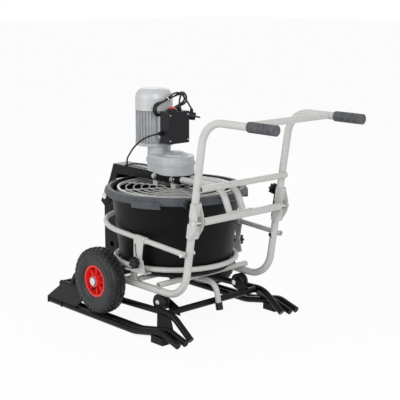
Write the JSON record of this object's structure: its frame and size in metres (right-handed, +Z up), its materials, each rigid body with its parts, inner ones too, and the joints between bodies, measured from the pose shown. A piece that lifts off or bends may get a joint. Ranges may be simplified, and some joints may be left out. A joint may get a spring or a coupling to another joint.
{
  "type": "concrete mixer",
  "caption": "Tub mixing station: floor stand with tilting geared mixing head over a tub on a wheeled trolley with folding push handles.",
  "frame": {"origin": "bottom centre of the whole machine on the floor it stands on", "axes": "+Z up, +X towards the push handles, left side is -Y"},
  "size_m": [1.1775, 0.661, 0.875],
  "materials": {
    "black_paint": "satin",
    "grey_paint": "gloss",
    "zinc": "satin",
    "bearing_steel": "satin",
    "stator_iron": "satin",
    "cast_aluminium": "satin",
    "cowl_paint": "satin",
    "tub_plastic": "matte",
    "black_plastic": "satin",
    "red_plastic": "gloss",
    "button_red": "gloss",
    "tyre_rubber": "matte",
    "black_rubber": "matte",
    "cable_sheath": "satin"
  },
  "bodies": {
    "root": {"runner_tubes_left": "black_paint", "runner_tubes_right": "black_paint", "wheel_trays": "black_paint", "roller_pedestals": "black_paint", "stand_cross_tubes": "black_paint", "column": "black_paint", "roller_bolts": "zinc", "axle": "zinc", "wheel_bushes": "bearing_steel", "frame_cross_tubes": "grey_paint", "tub_ring": "grey_paint", "clamp_brackets": "grey_paint", "foot_tube": "grey_paint", "foot_cap": "black_rubber", "hinge_crossbar": "grey_paint", "trolley_pins": "zinc", "side_tube_left": "grey_paint", "side_tube_right": "grey_paint", "tub": "tub_plastic"},
    "wheel_left": {"wheel_hub_left": "red_plastic", "tyre_left": "tyre_rubber"},
    "wheel_right": {"wheel_hub_right": "red_plastic", "tyre_right": "tyre_rubber"},
    "roller_left": {"roller_left": "black_rubber"},
    "roller_right": {"roller_right": "black_rubber"},
    "hoop": {"guard_hoop": "grey_paint"},
    "clamp_knob_left": {"clamp_knob_left": "black_plastic"},
    "clamp_knob_right": {"clamp_knob_right": "black_plastic"},
    "handle": {"handle_tubes": "grey_paint", "handle_braces": "grey_paint", "grips": "black_rubber", "latch_bars": "black_plastic"},
    "latch_knob_left": {"latch_knob_left": "black_plastic"},
    "latch_knob_right": {"latch_knob_right": "black_plastic"},
    "head": {"arm": "black_paint", "arm_bolts": "zinc", "hook_tubes": "grey_paint", "grill": "grey_paint", "gearbox_base": "cast_aluminium", "gearbox_cover": "cast_aluminium", "bearings": "bearing_steel", "shaft_seal": "black_rubber", "stator": "stator_iron", "motor_housing": "cast_aluminium", "fan_cowl": "cowl_paint", "control_box": "black_plastic", "control_lid": "black_plastic", "switch_bezel": "black_plastic", "control_internals": "black_plastic", "cable_glands": "black_plastic", "mains_lead": "cable_sheath", "mains_coil": "cable_sheath", "plug": "black_plastic", "control_cable": "cable_sheath"},
    "button": {"stop_button": "button_red"},
    "mixer": {"output_gear": "bearing_steel", "paddle": "bearing_steel"},
    "countershaft": {"intermediate_gear": "bearing_steel"},
    "motor_shaft": {"rotor": "bearing_steel", "cooling_fan": "black_plastic"}
  },
  "joints": [
    {"name": "wheel_spin_left", "type": "hinge", "parent": "root", "child": "wheel_left", "pos_m": [-0.256, -0.294, 0.1553], "axis": [0, 1, 0], "continuous": true},
    {"name": "roller_spin_left", "type": "hinge", "parent": "root", "child": "roller_left", "pos_m": [0.0065, -0.206, 0.11], "axis": [0, 1, 0], "continuous": true},
    {"name": "clamp_knob_turn_left", "type": "hinge", "parent": "root", "child": "clamp_knob_left", "pos_m": [-0.0685, -0.262, 0.257], "axis": [0, -1, 0], "continuous": true},
    {"name": "latch_knob_turn_left", "type": "hinge", "parent": "handle", "child": "latch_knob_left", "pos_m": [0.20333, -0.219, 0.50386], "axis": [-0.9874, 0, 0.1582], "continuous": true},
    {"name": "wheel_spin_right", "type": "hinge", "parent": "root", "child": "wheel_right", "pos_m": [-0.256, 0.294, 0.1553], "axis": [0, 1, 0], "continuous": true},
    {"name": "roller_spin_right", "type": "hinge", "parent": "root", "child": "roller_right", "pos_m": [0.0065, 0.206, 0.11], "axis": [0, 1, 0], "continuous": true},
    {"name": "clamp_knob_turn_right", "type": "hinge", "parent": "root", "child": "clamp_knob_right", "pos_m": [-0.0685, 0.262, 0.257], "axis": [0, 1, 0], "continuous": true},
    {"name": "latch_knob_turn_right", "type": "hinge", "parent": "handle", "child": "latch_knob_right", "pos_m": [0.20333, 0.219, 0.50386], "axis": [-0.9874, 0, 0.1582], "continuous": true},
    {"name": "hoop_tilt", "type": "hinge", "parent": "root", "child": "hoop", "pos_m": [0.17565, 0, 0.33106], "axis": [0, -1, 0], "range_deg": [0, 12]},
    {"name": "handle_fold", "type": "hinge", "parent": "root", "child": "handle", "pos_m": [0.22248, 0, 0.45015], "axis": [0, 1, 0], "range_deg": [0, 95]},
    {"name": "head_lift", "type": "hinge", "parent": "root", "child": "head", "pos_m": [-0.5385, 0, 0.411], "axis": [0, -1, 0], "range_deg": [0, 65]},
    {"name": "stop_button_press", "type": "slide", "parent": "head", "child": "button", "axis": [0, 0, -1], "range_m": [0, 0.003], "stiffness_N_per_m": 500, "springref_m": -0.002},
    {"name": "mixer_spin", "type": "hinge", "parent": "head", "child": "mixer", "pos_m": [-0.1435, 0, 0.56], "axis": [0, 0, 1], "continuous": true},
    {"name": "countershaft_spin", "type": "hinge", "parent": "head", "child": "countershaft", "pos_m": [-0.2185, 0, 0.59], "axis": [0, 0, 1], "continuous": true},
    {"name": "motor_spin", "type": "hinge", "parent": "head", "child": "motor_shaft", "pos_m": [-0.2725, 0, 0.7], "axis": [0, 0, 1], "continuous": true}
  ],
  "couplings": [
    {"joint": "countershaft_spin", "follows": "mixer_spin", "ratio": -4},
    {"joint": "motor_spin", "follows": "mixer_spin", "ratio": 20}
  ]
}
